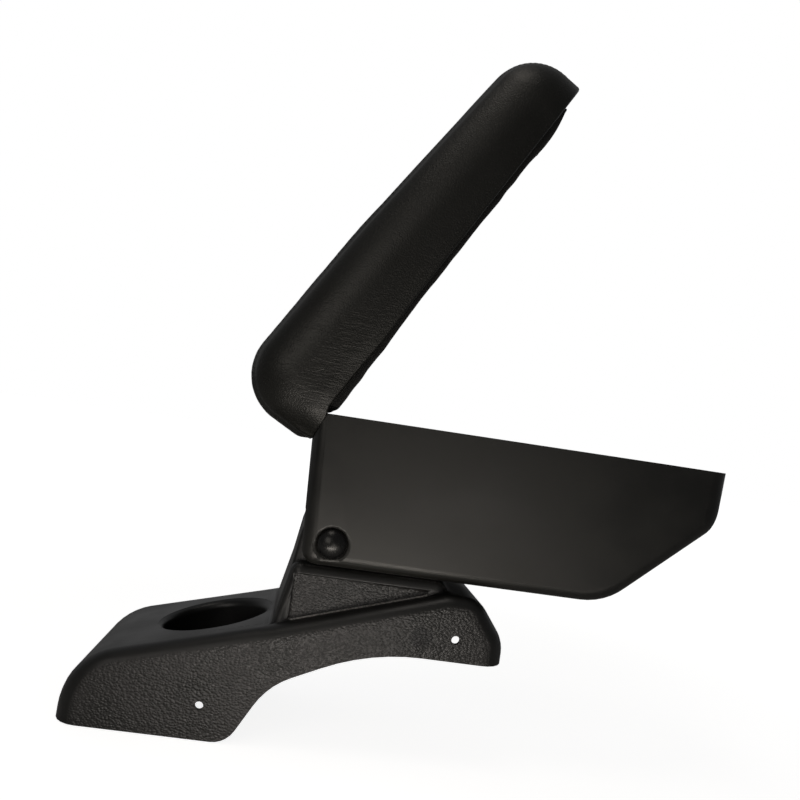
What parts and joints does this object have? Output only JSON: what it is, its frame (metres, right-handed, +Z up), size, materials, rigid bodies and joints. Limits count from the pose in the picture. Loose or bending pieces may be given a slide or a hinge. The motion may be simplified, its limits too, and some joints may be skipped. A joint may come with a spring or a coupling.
{
  "type": "car armrest",
  "caption": "Car centre armrest: moulded base with a cup well, tilting storage box on a pivot, and a padded lid on a rear hinge, shown open.",
  "frame": {"origin": "middle of the rear foot's rim, where the base's rear wall meets the console", "axes": "+X towards the front of the car, +Z up, Y across the width"},
  "size_m": [0.4558, 0.1366, 0.5131],
  "materials": {
    "grained_plastic": "injection-moulded polypropylene, fine pebble grain on the sides, smoother on the deck",
    "satin_plastic": "injection-moulded, satin",
    "gloss_plastic": "polished dome",
    "synthetic_leather": "fine pebbled synthetic leather over foam, warm black",
    "lining_cloth": "flat black trim cloth",
    "lid_board_plastic": "plain moulded board",
    "zinc_steel": "zinc-plated steel"
  },
  "bodies": {
    "base": {"base_shell": "grained_plastic", "pivot_sleeve": "zinc_steel"},
    "box": {"box_shell": "satin_plastic", "pivot_bolt": "zinc_steel", "pivot_nut": "zinc_steel", "pivot_washer_right": "zinc_steel", "pivot_washer_left": "zinc_steel", "pivot_cap_right": "gloss_plastic", "pivot_cap_left": "gloss_plastic", "hinge_leaf_box": "zinc_steel", "box_hinge_screw_1": "zinc_steel", "box_hinge_screw_2": "zinc_steel", "box_hinge_screw_3": "zinc_steel", "box_hinge_screw_4": "zinc_steel"},
    "lid": {"lid_cushion": "synthetic_leather", "lid_board": "lid_board_plastic", "lid_lining": "lining_cloth", "hinge_leaf_lid": "zinc_steel", "lid_hinge_screw_1": "zinc_steel", "lid_hinge_screw_2": "zinc_steel", "lid_hinge_screw_3": "zinc_steel", "lid_hinge_screw_4": "zinc_steel", "hinge_pin": "zinc_steel", "lining_screw_1": "zinc_steel", "lining_screw_2": "zinc_steel", "lining_screw_3": "zinc_steel", "lining_screw_4": "zinc_steel"}
  },
  "joints": [
    {"name": "box_tilt", "type": "hinge", "parent": "base", "child": "box", "pos_m": [0.1745, 0, 0.1457], "axis": [0, -1, 0], "range_deg": [0, 70]},
    {"name": "lid_hinge", "type": "hinge", "parent": "box", "child": "lid", "pos_m": [0.1562, 0, 0.2364], "axis": [0, -1, 0], "range_deg": [-60.2, 0]}
  ]
}
